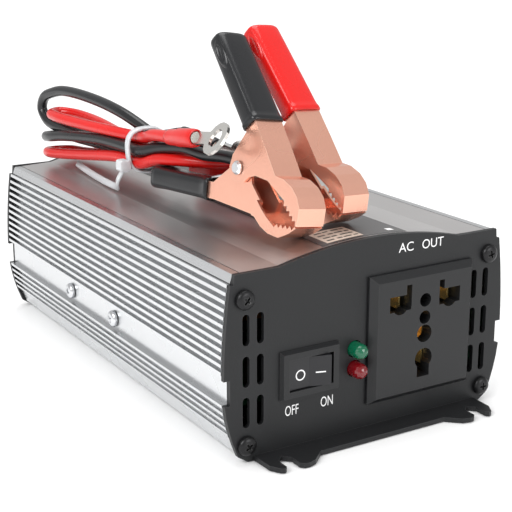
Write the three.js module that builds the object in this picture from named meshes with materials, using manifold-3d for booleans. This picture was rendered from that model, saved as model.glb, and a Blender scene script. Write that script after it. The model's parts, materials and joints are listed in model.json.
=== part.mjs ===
// A small DC to AC power inverter: a finned aluminium case with a crowned cover, a front panel with a
// universal outlet, rocker switch and two lamps, a rear panel with a fan and two binding posts, and a
// pair of battery clamp leads that lie tied in a hank on the cover.
// Millimetres. +X is right when facing the outlet, +Y runs from the front panel to the rear panel, +Z is up.
// The origin is the middle of the case's underside.
import * as THREE from "three";
import { mergeVertices } from "three/addons/utils/BufferGeometryUtils.js";
import Module from "manifold-3d";

const wasm = await Module();
wasm.setup();

// Driving dimensions
const clearance = 0.3;
const bodyLength = 169.4;
const waistHalfWidth = 52;
const waistHeight = 24;
const shoulderHeight = 57.6;
const upperTaper = 2.7;
const lowerTaper = 5.6;
const crownRise = 4.1;
const creaseHalfWidth = 33;
const caseWall = 2;
const floorThickness = 3;
const coverThickness = 1.8;
const panelThickness = 1.5;

const finDepth = 2.2;
const finThickness = 1;
const finPitch = 2.35;
const upperFins = 12;
const lowerFins = 5;
const bandTop = 26.6;
const bandBottom = 18.8;
const bandInset = 2;

const footReach = 12.4;
const stripReach = 7.6;
const footSlotX = 35.4;
const footSlotWidth = 4.6;
const footSlotDepth = 8;

const ventWidth = 2.4;
const ventHeight = 9.6;
const ventPitch = 12.65;
const ventInsets = [12.2, 7.4];
const ventMiddle = 28.2;

const screwShank = 1.25;
const screwHead = 3;
const screwHeadHeight = 1.7;
const panelScrewLength = 9;
const upperScrew = { inset: 5.16, z: 50.2 };
const lowerScrew = { inset: 4.04, z: 5.4 };
const bossRadius = 2.7;
const sideScrewY = [-9.3, 26.6];

const outlet = { x: 18, z: 29.4, width: 40, height: 41, proud: 3, bevel: 2, depth: 16 };
const outletWall = 4.6;
const outletPole = 9.6;
const outletPoleRise = 11.1;
const roundHole = 4.4;
const contactGap = 5.2;
const contactSheet = 0.6;

const rockerSwitch = { x: -23, z: 24.4, width: 20.8, height: 15.2, proud: 1.8, depth: 14 };
const switchWall = 1.5;
const rockerTilt = 9;
const rockerPivot = 2.5;
const lampX = -6.3;
const lampZ = { green: 27.9, red: 21.6 };
const lampRadius = 2.5;
const lampProud = 5.2;

const fan = { edge: 42, z: 31, size: 40, depth: 10, duct: 18.5, hub: 9.3, blades: 7 };
const postX = { red: 36, black: 13 };
const postZ = 31;
const studRadius = 2.9;
const postFlange = 8;
const knobRadius = 7.2;
const knobLength = 12;
const ringSeat = 1.2;

const boardLength = 140;
const boardThickness = 1.6;
const boardHeight = 9.6;

const sheet = 0.9;
const upperJawWidth = 10.4;
const lowerJawWidth = upperJawWidth - 2 * (sheet + clearance);
const rivetRadius = 1.3;
const armThickness = 5.3;
const flareStart = 12.6;
const gripWall = 0.8;
const clamps = {
  black: { x: -21.4, y: -51.4, rise: 16.9, yaw: 7, lean: 8.5, pitch: 20.5 },
  red: { x: -4, y: -47.3, rise: 18, yaw: 9, lean: 4.5, pitch: 20.5 },
};

const leadDiameter = 4;
const ringHole = 3.2;
const ringOuter = 5.7;
const ringReach = 13.5;
const sleeveLength = 19.5;
const sleeveOverlap = 9;
const tieMiddle = { x: -27, y: 9, rise: 13.1 };
const hankNear = 12.5;

// Finishes
const finish = (color, roughness, metalness) => new THREE.MeshStandardMaterial({ color, roughness, metalness });
const aluminium = () => finish(0xc9cccf, 0.35, 0.9);
const blackSteel = () => finish(0x2f3031, 0.6, 0.2);
const blackPlastic = () => finish(0x242527, 0.5, 0);
const redPlastic = () => finish(0xd82a22, 0.4, 0);
const steel = () => finish(0xb9bcc0, 0.3, 0.95);
const brass = () => finish(0xc9a14a, 0.3, 0.95);
const copper = () => finish(0xe29a78, 0.3, 0.9);
const green = () => finish(0x1f8f5f, 0.2, 0);
const darkScrew = () => finish(0x1b1c1d, 0.4, 0.6);

const part = new THREE.Group();

// Solids
function toSolid(geometry) {
  const bare = geometry.index ? geometry.toNonIndexed() : geometry.clone();
  const points = new THREE.BufferGeometry().setAttribute("position", bare.getAttribute("position"));
  const merged = mergeVertices(points, 1e-4);
  return new wasm.Manifold(
    new wasm.Mesh({
      numProp: 3,
      vertProperties: merged.attributes.position.array,
      triVerts: new Uint32Array(merged.index.array),
    }),
  );
}

function toGeometry(solid) {
  const mesh = solid.getMesh();
  const geometry = new THREE.BufferGeometry();
  geometry.setAttribute("position", new THREE.BufferAttribute(new Float32Array(mesh.vertProperties), 3));
  geometry.setIndex(new THREE.BufferAttribute(new Uint32Array(mesh.triVerts), 1));
  geometry.computeVertexNormals();
  return geometry;
}

const cut = (body, ...tools) => toGeometry(tools.reduce((solid, tool) => solid.subtract(toSolid(tool)), toSolid(body)));
const join = (body, ...others) => toGeometry(others.reduce((solid, other) => solid.add(toSolid(other)), toSolid(body)));

function addPiece(name, geometry, material, parent = part) {
  const mesh = new THREE.Mesh(geometry, material);
  mesh.name = name;
  parent.add(mesh);
  return mesh;
}

// A box between two corners.
function block(x0, x1, y0, y1, z0, z1) {
  const geometry = new THREE.BoxGeometry(x1 - x0, y1 - y0, z1 - z0);
  return geometry.translate((x0 + x1) / 2, (y0 + y1) / 2, (z0 + z1) / 2);
}

// A box that narrows by inset on the face at y0.
function taperedBlock(width, height, y0, y1, inset) {
  const geometry = new THREE.BoxGeometry(width, y1 - y0, height);
  const position = geometry.getAttribute("position");
  for (let i = 0; i < position.count; i += 1) {
    if (position.getY(i) > 0) continue;
    position.setX(i, position.getX(i) - Math.sign(position.getX(i)) * inset);
    position.setZ(i, position.getZ(i) - Math.sign(position.getZ(i)) * inset);
  }
  return geometry.translate(0, (y0 + y1) / 2, 0);
}

const prism = (shape, depth) => new THREE.ExtrudeGeometry(shape, { depth, bevelEnabled: false });

// A cross-section drawn in X and Z, run from y0 to y1.
const alongY = (shape, y0, y1) => prism(shape, y1 - y0).rotateX(Math.PI / 2).translate(0, y1, 0);

// A cross-section drawn in X and Y, run from z0 to z1.
const alongZ = (shape, z0, z1) => prism(shape, z1 - z0).translate(0, 0, z0);

function outline(points) {
  return new THREE.Shape(points.map(([x, y]) => new THREE.Vector2(x, y)));
}

// The left half of a symmetric outline is its right half mirrored.
function mirrored(right) {
  const left = right.map(([x, y]) => [-x, y]).reverse();
  return outline([...right, ...left]);
}

// Points round part of a circle, its last one left out.
function arc(x, y, radius, from, sweep, steps) {
  return Array.from({ length: steps }, (_, i) => {
    const angle = from + (sweep * i) / steps;
    return [x + radius * Math.cos(angle), y + radius * Math.sin(angle)];
  });
}

// A slot with round ends, standing upright.
function upright(x, z, width, height) {
  const radius = width / 2;
  const reach = height / 2 - radius;
  const top = arc(x, z + reach, radius, 0, Math.PI, 5);
  const bottom = arc(x, z - reach, radius, Math.PI, Math.PI, 5);
  return outline([...top, [x - radius, z + reach], ...bottom, [x + radius, z - reach]]);
}

function disc(x, y, radius) {
  return outline(arc(x, y, radius, 0, 2 * Math.PI, radius > 6 ? 32 : 16));
}

function rectangle(x, y, width, height) {
  const [w, h] = [width / 2, height / 2];
  return outline([[x - w, y - h], [x + w, y - h], [x + w, y + h], [x - w, y + h]]);
}

function roundedRectangle(x, y, width, height, radius) {
  const [w, h] = [width / 2 - radius, height / 2 - radius];
  const quarter = Math.PI / 2;
  const corners = [[w, h], [-w, h], [-w, -h], [w, -h]];
  return outline(corners.flatMap(([cx, cy], i) => [
    ...arc(x + cx, y + cy, radius, i * quarter, quarter, 3),
    [x + cx + radius * Math.cos((i + 1) * quarter), y + cy + radius * Math.sin((i + 1) * quarter)],
  ]));
}

// A turned solid on the Y axis at x and z: its profile is [radius, y] pairs.
function turned(profile, x, z, segments = 24) {
  const points = profile.map(([radius, y]) => new THREE.Vector2(radius, y));
  return new THREE.LatheGeometry(points, segments).translate(x, 0, z);
}

// The case's cross-section
const halfLength = bodyLength / 2;
const panelInner = halfLength + clearance;
const panelFace = panelInner + panelThickness;

function sideHalfWidth(z) {
  const above = (z - waistHeight) / (shoulderHeight - waistHeight);
  const below = (waistHeight - z) / waistHeight;
  return waistHalfWidth - (z > waistHeight ? upperTaper * above ** 2 : lowerTaper * below ** 2);
}

const rootHalfWidth = (z) => sideHalfWidth(z) - finDepth;
const innerHalfWidth = (z) => rootHalfWidth(z) - caseWall;
const fanX = fan.size / 2 - fan.edge;
const topFin = bandTop + upperFins * finPitch;
const rimHalfWidth = sideHalfWidth(shoulderHeight) - 1.3;
const underCorner = sideHalfWidth(0) - 2.3;
const cornerRise = 2.2;

// The stepped edge of a stack of fins, from its lowest fin up.
function finEdge(bottom, count) {
  const points = [];
  for (let i = 0; i < count; i += 1) {
    const z = bottom + i * finPitch + (finPitch - finThickness);
    points.push([rootHalfWidth(z), z], [sideHalfWidth(z), z]);
    points.push([sideHalfWidth(z + finThickness), z + finThickness]);
    points.push([rootHalfWidth(z + finThickness), z + finThickness]);
  }
  return points;
}

// The cover slides into a groove under the rim.
const lipThickness = 0.7;
const tongueThickness = 0.8;
const tongueReach = 1.2;
const lipHalfWidth = rimHalfWidth - 2.4;
const grooveTop = shoulderHeight - lipThickness;
const tongueTop = grooveTop - clearance;
const tongueBottom = tongueTop - tongueThickness;
const grooveBottom = tongueBottom - clearance;
const ledgeThickness = 1.2;
const ledgeHalfWidth = lipHalfWidth - 2;
const lowerFinBottom = bandBottom - lowerFins * finPitch;
const boardShelf = 1.6;

function caseOutline() {
  const rise = [
    [underCorner, 0],
    [sideHalfWidth(cornerRise) - 1, cornerRise],
    [sideHalfWidth(lowerFinBottom) - 1, lowerFinBottom],
    ...finEdge(lowerFinBottom, lowerFins),
    [waistHalfWidth - bandInset, bandBottom],
    [waistHalfWidth - bandInset, bandTop],
    ...finEdge(bandTop, upperFins),
    [rimHalfWidth + 0.8, topFin + 0.2],
    [rimHalfWidth, shoulderHeight],
    [lipHalfWidth, shoulderHeight],
    [lipHalfWidth, grooveTop],
    [lipHalfWidth + tongueReach, grooveTop],
    [lipHalfWidth + tongueReach, grooveBottom],
    [ledgeHalfWidth, grooveBottom],
    [ledgeHalfWidth, grooveBottom - ledgeThickness],
    [innerHalfWidth(topFin) - 0.2, grooveBottom - 2 * ledgeThickness],
    [innerHalfWidth(topFin), topFin - 2],
    [innerHalfWidth(waistHeight), waistHeight],
    [innerHalfWidth(boardHeight), boardHeight],
    [innerHalfWidth(boardHeight) - boardShelf, boardHeight],
    [innerHalfWidth(boardHeight) - boardShelf, boardHeight - 1.2],
    [innerHalfWidth(boardHeight - 1.2), boardHeight - 1.2],
    [innerHalfWidth(floorThickness), floorThickness],
  ];
  return mirrored(rise);
}

const screwSpots = [upperScrew, lowerScrew].flatMap(({ inset, z }) => {
  const x = sideHalfWidth(z) - inset;
  return [{ x, z }, { x: -x, z }];
});
const sideScrewZ = (bandTop + bandBottom) / 2;
const bandHalfWidth = waistHalfWidth - bandInset;

function sideScrewHole(side, y) {
  const hole = new THREE.CylinderGeometry(screwShank + clearance, screwShank + clearance, 2 * bandHalfWidth, 12);
  return hole.rotateZ(Math.PI / 2).translate(side * 1.5 * bandHalfWidth, y, sideScrewZ);
}

function makeCaseBase() {
  let body = toSolid(alongY(caseOutline(), -halfLength, halfLength));
  for (const { x, z } of screwSpots) body = body.add(toSolid(alongY(disc(x, z, bossRadius), -halfLength, halfLength)));
  for (const { x, z } of screwSpots) {
    body = body.subtract(toSolid(alongY(disc(x, z, screwShank + clearance), -halfLength - 1, halfLength + 1)));
  }
  for (const side of [-1, 1]) {
    for (const y of sideScrewY) body = body.subtract(toSolid(sideScrewHole(side, y)));
  }
  addPiece("case_base", toGeometry(body), aluminium());
}

// The crown is one arc between the two creases.
const crownRadius = (creaseHalfWidth ** 2 + crownRise ** 2) / (2 * crownRise);
const creaseHeight = shoulderHeight + 0.3;
const crownTop = creaseHeight + crownRise;

function crownArc(radius, halfWidth, steps) {
  const centre = crownTop - crownRadius;
  const points = [];
  for (let i = 0; i <= steps; i += 1) {
    const x = halfWidth * (1 - i / steps);
    points.push([x, centre + Math.sqrt(radius ** 2 - x ** 2)]);
  }
  return points;
}

function makeCover() {
  const edge = lipHalfWidth - clearance;
  const right = [
    ...crownArc(crownRadius - coverThickness, creaseHalfWidth, 9).reverse(),
    [ledgeHalfWidth + 1, tongueBottom],
    [lipHalfWidth + tongueReach - clearance, tongueBottom],
    [lipHalfWidth + tongueReach - clearance, tongueTop],
    [edge, tongueTop],
    [edge, shoulderHeight],
    ...crownArc(crownRadius, creaseHalfWidth, 9),
  ];
  const left = right.slice(1, -1).map(([x, z]) => [-x, z]).reverse();
  addPiece("top_cover", alongY(outline([...right, ...left]), -halfLength, halfLength), aluminium());
}

// End panels
function panelOutline() {
  const side = (z0, z1, steps) => {
    const points = [];
    for (let i = 0; i <= steps; i += 1) {
      const z = z0 + ((z1 - z0) * i) / steps;
      points.push([sideHalfWidth(z), z]);
    }
    return points;
  };
  const right = [
    [underCorner, 0],
    ...side(cornerRise, bandBottom, 4),
    [bandHalfWidth, bandBottom],
    [bandHalfWidth, bandTop],
    ...side(bandTop, topFin, 6),
    [rimHalfWidth + 0.6, topFin],
    [rimHalfWidth + 0.3, shoulderHeight + 0.3],
    ...crownArc(crownRadius, creaseHalfWidth, 10),
  ];
  const left = right.slice(0, -1).map(([x, z]) => [-x, z]).reverse();
  return outline([...right, ...left]);
}

// The foot flange is bent outward along the panel's lower edge, with an open slot near each end.
function footShape() {
  const inner = footSlotX - footSlotWidth / 2;
  const outer = footSlotX + footSlotWidth / 2;
  const right = [
    [inner - 9.6, stripReach],
    [inner - 5.2, footReach - 0.8],
    [inner - 2.6, footReach],
    [inner - 1, footReach - 0.3],
    [inner, footReach - 1.4],
    [inner, footReach - footSlotDepth + footSlotWidth / 2],
    [footSlotX, footReach - footSlotDepth],
    [outer, footReach - footSlotDepth + footSlotWidth / 2],
    [outer, footReach - 1.2],
    [outer + 0.8, footReach - 0.4],
    [outer + 2, footReach - 0.8],
    [outer + 4, footReach - 4.2],
    [outer + 4.4, -panelThickness],
  ];
  return mirrored(right);
}

function ventCutters(y0, y1) {
  const cutters = [];
  for (const x of ventInsets.map((inset) => waistHalfWidth - inset)) {
    for (const row of [-1, 0, 1]) {
      for (const side of [-1, 1]) {
        cutters.push(alongY(upright(side * x, ventMiddle + row * ventPitch, ventWidth, ventHeight), y0, y1));
      }
    }
  }
  return cutters;
}

// A panel faces -Y in its own frame; the rear one is turned round.
function makePanel(name, openings, vents) {
  const y0 = -panelFace;
  const y1 = -panelInner;
  const plate = toSolid(alongY(panelOutline(), y0, y1));
  const foot = toSolid(alongZ(footShape(), 0, panelThickness).rotateX(Math.PI).translate(0, y0, panelThickness));
  let body = plate.add(foot);
  const holes = screwSpots.map(({ x, z }) => alongY(disc(x, z, screwShank + clearance), y0 - 1, y1 + 1));
  for (const tool of [...holes, ...openings, ...vents]) body = body.subtract(toSolid(tool));
  return addPiece(name, toGeometry(body), blackSteel());
}

function makePanelScrews(prefix, turn) {
  const profile = [
    [0, -panelFace - clearance - screwHeadHeight],
    [screwHead * 0.7, -panelFace - clearance - screwHeadHeight],
    [screwHead, -panelFace - clearance - 0.6],
    [screwHead, -panelFace - clearance],
    [screwShank, -panelFace - clearance],
    [screwShank, -panelFace + panelScrewLength],
    [0, -panelFace + panelScrewLength],
  ];
  screwSpots.forEach(({ x, z }, i) => {
    const screw = addPiece(`${prefix}_screw_${i + 1}`, turned(profile, x, z, 16), darkScrew());
    if (turn) screw.rotation.z = Math.PI;
  });
}

// Outlet
const poles = { live: [-outletPole, outletPoleRise], neutral: [outletPole, outletPoleRise - 0.4] };
const earth = { upper: -0.2, lower: -8.4, radius: 3.4, small: 2.9 };

function outletCutters(y0, y1) {
  const cutters = [];
  const through = (shape) => cutters.push(alongY(shape, y0, y1));
  for (const [side, [x, z]] of [[-1, poles.live], [1, poles.neutral]]) {
    through(rectangle(x, z, 8.2, 5));
    through(disc(x, z - 0.8, 2.9));
    through(rectangle(x - side * 3.2, z + 2, 2, 7));
  }
  through(disc(0, outletPoleRise - 0.4, roundHole / 2));
  through(disc(0, outletPoleRise - 6, roundHole / 2));
  through(disc(0, earth.upper, earth.small));
  through(disc(0, earth.lower, earth.radius));
  through(rectangle(0, earth.lower - 3, 4.8, 6));
  return cutters;
}

const contactDepth = outlet.depth - outletWall - 1;

function makeContact(name, x, z, height) {
  const wide = contactGap / 2 + contactSheet;
  const front = -panelFace + outletWall - outlet.proud;
  const back = front + contactDepth;
  const shape = outline([
    [-wide, 0],
    [-wide + contactSheet, 0],
    [-wide + contactSheet, contactDepth - contactSheet],
    [wide - contactSheet, contactDepth - contactSheet],
    [wide - contactSheet, 0],
    [wide, 0],
    [wide, contactDepth],
    [1.5, contactDepth],
    [1.5, contactDepth + 4],
    [-1.5, contactDepth + 4],
    [-1.5, contactDepth],
    [-wide, contactDepth],
  ]);
  const strip = alongZ(shape, z - height / 2, z + height / 2).translate(outlet.x + x, front, outlet.z);
  addPiece(name, strip, brass());
  return back;
}

function makeOutlet() {
  const face = -panelFace - outlet.proud;
  const seat = -panelFace - clearance;
  const back = -panelFace + outlet.depth - outlet.proud;
  const plate = taperedBlock(outlet.width, outlet.height, face, face + outlet.bevel, outlet.bevel);
  const step = block(-outlet.width / 2, outlet.width / 2, face + outlet.bevel, seat, -outlet.height / 2, outlet.height / 2);
  const core = block(-outletCore.width / 2, outletCore.width / 2, seat - 0.5, back, -outletCore.height / 2, outletCore.height / 2);
  const pocketFront = face + outletWall - clearance;
  const pocket = (x, z, width, height) => alongY(rectangle(x, z, width, height), pocketFront, back + 1);
  const body = cut(
    join(plate, step, core),
    ...outletCutters(face - 1, back - 1),
    pocket(poles.live[0], poles.live[1], 9, 9),
    pocket(poles.neutral[0], poles.neutral[1], 9, 9),
    pocket(0, -5, 8, 17),
  );
  addPiece("outlet_block", body.translate(outlet.x, 0, outlet.z), blackPlastic());
  makeContact("live_contact", poles.live[0], poles.live[1], 7);
  makeContact("neutral_contact", poles.neutral[0], poles.neutral[1], 7);
  makeContact("earth_contact", 0, -5, 14);
}

const outletCore = { width: outlet.width - 3, height: outlet.height - 3 };
const switchCore = { width: rockerSwitch.width - 2.2, height: rockerSwitch.height - 2.2 };

function makeSwitch() {
  const { x, z, width, height, proud, depth } = rockerSwitch;
  const front = -panelFace - proud;
  const seat = -panelFace - clearance;
  const back = -panelFace + depth;
  const bezel = taperedBlock(width, height, front, seat, 0.7);
  const core = block(-switchCore.width / 2, switchCore.width / 2, seat - 0.3, back, -switchCore.height / 2, switchCore.height / 2);
  const hollow = rectangle(0, 0, switchCore.width - 2 * switchWall, switchCore.height - 2 * switchWall);
  const housing = cut(join(bezel, core), alongY(hollow, front - 1, back - switchWall));
  addPiece("switch_housing", housing.translate(x, 0, z), blackPlastic());

  const half = switchCore.width / 2 - switchWall - 0.9;
  const face = rockerPivot + 1;
  const swell = half * Math.tan(THREE.MathUtils.degToRad(rockerTilt));
  const shape = outline([
    [-half - 0.6, 1],
    [-3, 4],
    [3, 4],
    [half + 0.6, 1],
    [half, -face - swell],
    [0, -face],
    [-half, -face - swell],
  ]);
  const reach = switchCore.height / 2 - switchWall - clearance;
  const rocker = addPiece("switch_rocker", alongZ(shape, -reach, reach), blackPlastic());
  rocker.position.set(x, -panelFace + rockerPivot, z);
  rocker.rotation.z = THREE.MathUtils.degToRad(-rockerTilt);
}

function makeLamp(name, z, material) {
  const tip = -panelFace - lampProud;
  const profile = [[0, tip]];
  for (let i = 1; i <= 5; i += 1) {
    const angle = (Math.PI / 2) * (i / 5);
    profile.push([lampRadius * Math.sin(angle), tip + lampRadius * (1 - Math.cos(angle))]);
  }
  profile.push([lampRadius, -panelInner + clearance], [lampRadius + 0.6, -panelInner + clearance]);
  profile.push([lampRadius + 0.6, -panelInner + 1.4], [0, -panelInner + 1.4]);
  addPiece(name, turned(profile, lampX, z, 20), material);
}

// Fan
function makeFan() {
  const rear = panelInner - clearance;
  const front = rear - fan.depth;
  const half = fan.size / 2;
  const hubBack = front + 1.6;
  const square = roundedRectangle(0, 0, fan.size, fan.size, 2.5);
  square.holes.push(disc(0, 0, fan.duct));
  for (const [sx, sz] of [[1, 1], [1, -1], [-1, 1], [-1, -1]]) {
    square.holes.push(disc(sx * (half - 4), sz * (half - 4), 1.7));
  }
  let frame = toSolid(alongY(square, front, rear));
  frame = frame.add(toSolid(alongY(disc(0, 0, fan.hub), front, hubBack)));
  for (let i = 0; i < 3; i += 1) {
    const strut = block(-1.2, 1.2, front, hubBack, fan.hub - 1, fan.duct + 0.5);
    frame = frame.add(toSolid(strut.rotateY((2 * Math.PI * i) / 3)));
  }
  addPiece("fan_frame", toGeometry(frame).translate(fanX, 0, fan.z), blackPlastic());

  const bladeReach = fan.duct - 0.7;
  const bladeDepth = rear - hubBack - 2;
  const middle = (hubBack + clearance + rear - clearance) / 2;
  let rotor = toSolid(alongY(disc(0, 0, fan.hub), hubBack + clearance, rear - clearance));
  for (let i = 0; i < fan.blades; i += 1) {
    const blade = block(-bladeDepth / 2, bladeDepth / 2, -0.5, 0.5, fan.hub - 1, bladeReach);
    blade.rotateZ(THREE.MathUtils.degToRad(52)).translate(0, middle, 0);
    rotor = rotor.add(toSolid(blade.rotateY((2 * Math.PI * i) / fan.blades)));
  }
  addPiece("fan_rotor", toGeometry(rotor).translate(fanX, 0, fan.z), blackPlastic());
}

// The fan's outlet in the rear panel, drawn as upright slots that fill its circle.
function fanSlots(y0, y1) {
  const cutters = [];
  const pitch = 4.6;
  for (let column = -3; column <= 3; column += 1) {
    const x = column * pitch;
    const reach = Math.sqrt((fan.duct - 1) ** 2 - x ** 2);
    const height = reach - 1.2;
    for (const side of [-1, 1]) {
      const z = fan.z + side * (1.2 + height / 2);
      cutters.push(alongY(upright(-(fanX + x), z, ventWidth, height), y0, y1));
    }
  }
  return cutters;
}

// Binding posts
const neckRadius = studRadius + clearance + 1.2;

function makePost(color, material) {
  const x = postX[color];
  const flangeEnd = panelFace + clearance + 3.2;
  const knobStart = flangeEnd + ringSeat;
  const knobEnd = knobStart + knobLength;
  const bore = studRadius + clearance;
  addPiece(`${color}_post_insulator`, turned([
    [bore, panelInner - 4],
    [neckRadius, panelInner - 4],
    [neckRadius, panelFace + clearance],
    [postFlange, panelFace + clearance],
    [postFlange, flangeEnd - 0.6],
    [postFlange - 0.6, flangeEnd],
    [bore, flangeEnd],
    [bore, panelInner - 4],
  ], x, postZ), material());
  addPiece(`${color}_post_stud`, turned([
    [0, panelInner - 12],
    [5, panelInner - 12],
    [5, panelInner - 4 - clearance],
    [studRadius, panelInner - 4 - clearance],
    [studRadius, knobEnd + 1],
    [studRadius - 0.6, knobEnd + 1.8],
    [0, knobEnd + 1.8],
  ], x, postZ), brass());

  const ribs = 12;
  const fluted = new THREE.Shape();
  for (let i = 0; i < ribs * 4; i += 1) {
    const angle = (2 * Math.PI * i) / (ribs * 4);
    const radius = knobRadius - (i % 4 < 2 ? 0 : 0.7);
    fluted[i ? "lineTo" : "moveTo"](radius * Math.cos(angle), radius * Math.sin(angle));
  }
  fluted.holes.push(disc(0, 0, bore));
  addPiece(`${color}_post_knob`, alongY(fluted, knobStart, knobEnd).translate(x, 0, postZ), material());
}

// Electronics
function makeBoard() {
  const half = innerHalfWidth(boardHeight) - clearance;
  const bottom = boardHeight + clearance;
  const board = block(-half, half, -boardLength / 2, boardLength / 2, bottom, bottom + boardThickness);
  addPiece("circuit_board", board, finish(0x1f5a34, 0.6, 0));
  return bottom + boardThickness;
}

function makeTransformer(top) {
  const windows = [-9.5, 9.5].map((x) => alongY(rectangle(x, 17, 9, 20), -19, -3));
  const core = cut(block(-21, 21, -18, -4, 0, 34), ...windows);
  addPiece("transformer_core", core.translate(-10, 0, top + clearance), finish(0x303134, 0.7, 0.1));
  const winding = rectangle(0, -11, 26, 30);
  winding.holes.push(rectangle(0, -11, 10.8, 14.8));
  const bottom = top + clearance + 7 + clearance;
  addPiece("transformer_winding", alongZ(winding, bottom, bottom + 19.4).translate(-10, 0, 0), finish(0xc98b2e, 0.5, 0.1));
}

function makeCapacitor(top) {
  const can = new THREE.CylinderGeometry(8, 8, 32, 20).rotateX(Math.PI / 2);
  addPiece("capacitor", can.translate(22, 30, top + clearance + 16), finish(0x20242c, 0.4, 0.1));
}

// A steel bar clamps each row of transistors to the side wall.
function makeTransistorBank(name, side) {
  const wall = innerHalfWidth(waistHeight) - 0.9;
  const z = sideScrewZ;
  const [y0, y1] = [sideScrewY[0] - 14, sideScrewY[1] + 14].map((y) => side * y).sort((a, b) => a - b);
  const bar = block(wall - 3, wall, y0, y1, z - 4, z + 4);
  let bank = toSolid(bar);
  for (let i = 0; i < 4; i += 1) {
    const y = y0 + ((y1 - y0) * (i + 0.5)) / 4;
    bank = bank.add(toSolid(block(wall - 4.6, wall - 2.9, y - 5, y + 5, z - 11, z + 2)));
  }
  for (const y of sideScrewY) {
    const hole = new THREE.CylinderGeometry(screwShank + clearance, screwShank + clearance, 20, 12);
    bank = bank.subtract(toSolid(hole.rotateZ(Math.PI / 2).translate(wall, side * y, z)));
  }
  const mesh = addPiece(name, toGeometry(bank), steel());
  if (side < 0) mesh.rotation.z = Math.PI;
  return mesh;
}

function makeSideScrews() {
  for (const [side, label] of [[-1, "left"], [1, "right"]]) {
    sideScrewY.forEach((y, i) => {
      const head = bandHalfWidth + clearance;
      const profile = [
        [0, head + 1.6],
        [screwHead * 0.6, head + 1.6],
        [screwHead - 0.2, head + 0.7],
        [screwHead - 0.2, head],
        [screwShank, head],
        [screwShank, head - 8],
        [0, head - 8],
      ].reverse().map(([radius, reach]) => new THREE.Vector2(radius, reach));
      const screw = new THREE.LatheGeometry(profile, 16).rotateZ((-side * Math.PI) / 2);
      addPiece(`${label}_side_screw_${i + 1}`, screw.translate(0, y, sideScrewZ), steel());
    });
  }
}

makeCaseBase();
makeCover();

const cutY = [-panelFace - 1, -panelInner + 1];
const frontOpenings = [
  rectangle(outlet.x, outlet.z, outletCore.width + 2 * clearance, outletCore.height + 2 * clearance),
  rectangle(rockerSwitch.x, rockerSwitch.z, switchCore.width + 2 * clearance, switchCore.height + 2 * clearance),
  disc(lampX, lampZ.green, lampRadius + clearance),
  disc(lampX, lampZ.red, lampRadius + clearance),
].map((shape) => alongY(shape, ...cutY));
makePanel("front_panel", frontOpenings, ventCutters(...cutY));
makePanelScrews("front_panel", false);

const rearOpenings = [
  ...Object.values(postX).map((x) => alongY(disc(-x, postZ, neckRadius + clearance), ...cutY)),
  ...fanSlots(...cutY),
];
makePanel("rear_panel", rearOpenings, []).rotation.z = Math.PI;
makePanelScrews("rear_panel", true);

makeOutlet();
makeSwitch();
makeLamp("green_lamp", lampZ.green, green());
makeLamp("red_lamp", lampZ.red, redPlastic());
makeFan();
makePost("red", redPlastic);
makePost("black", blackPlastic);
const boardTop = makeBoard();
makeTransformer(boardTop);
makeCapacitor(boardTop);
makeTransistorBank("right_transistor_bank", 1);
makeTransistorBank("left_transistor_bank", -1);
makeSideScrews();

// Clamps and leads, set out above the crown of the cover
const leads = new THREE.Group();
leads.position.z = crownTop;
part.add(leads);

const radians = THREE.MathUtils.degToRad;

// Half a clamp's outline: [along, out], from the rivet toward the nose and out from the axis.
// Its spine is the folded edge, and its handle is the arm behind the heel.
const upperHalf = {
  width: upperJawWidth,
  heel: [0, 16.1],
  slope: 0.5,
  armStart: -2.2,
  handleEnd: 29,
  spine: [[9, 11], [16.4, 6.6], [20, 7.6], [24.4, 7.5], [28, 6.2], [30.6, 3.8], [32.2, -1.2]],
  teeth: [[31.4, -1.4], [22.4, 1.6]],
  eye: [[20.5, 2.9], [14, 3.6], [8.4, 2], [5.8, 0.1], [4.5, -2.5], [0, -4.5], [-4, -2], [-4.5, 2]],
};
const lowerHalf = {
  width: lowerJawWidth,
  heel: [-7, 15.4],
  slope: 0.42,
  armStart: -10,
  handleEnd: 36,
  spine: [[13.9, 8.8], [18, 9.8], [22, 9.8], [26.7, 8.4], [30, 5], [32.2, 1.8]],
  teeth: [[31.4, 1.7], [22.4, 6]],
  eye: [[19, 6], [15.7, 5.1], [6.8, 1.6], [5.2, -1], [4, -2.5], [0, -4.5], [-4, -2], [-4.5, 2]],
};

// Teeth between two points, each rising to a point and falling back.
function toothRow([[x0, y0], [x1, y1]], count) {
  const points = [];
  for (let i = 0; i < count; i += 1) {
    const [t, u] = [i / count, (i + 0.5) / count];
    points.push([x0 + (x1 - x0) * t, y0 + (y1 - y0) * t]);
    points.push([x0 + (x1 - x0) * u + 0.3, y0 + (y1 - y0) * u + 1.1]);
  }
  return points;
}

const handlePoint = ({ heel, slope }, along) => [along, heel[1] + slope * (heel[0] - along)];

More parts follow.
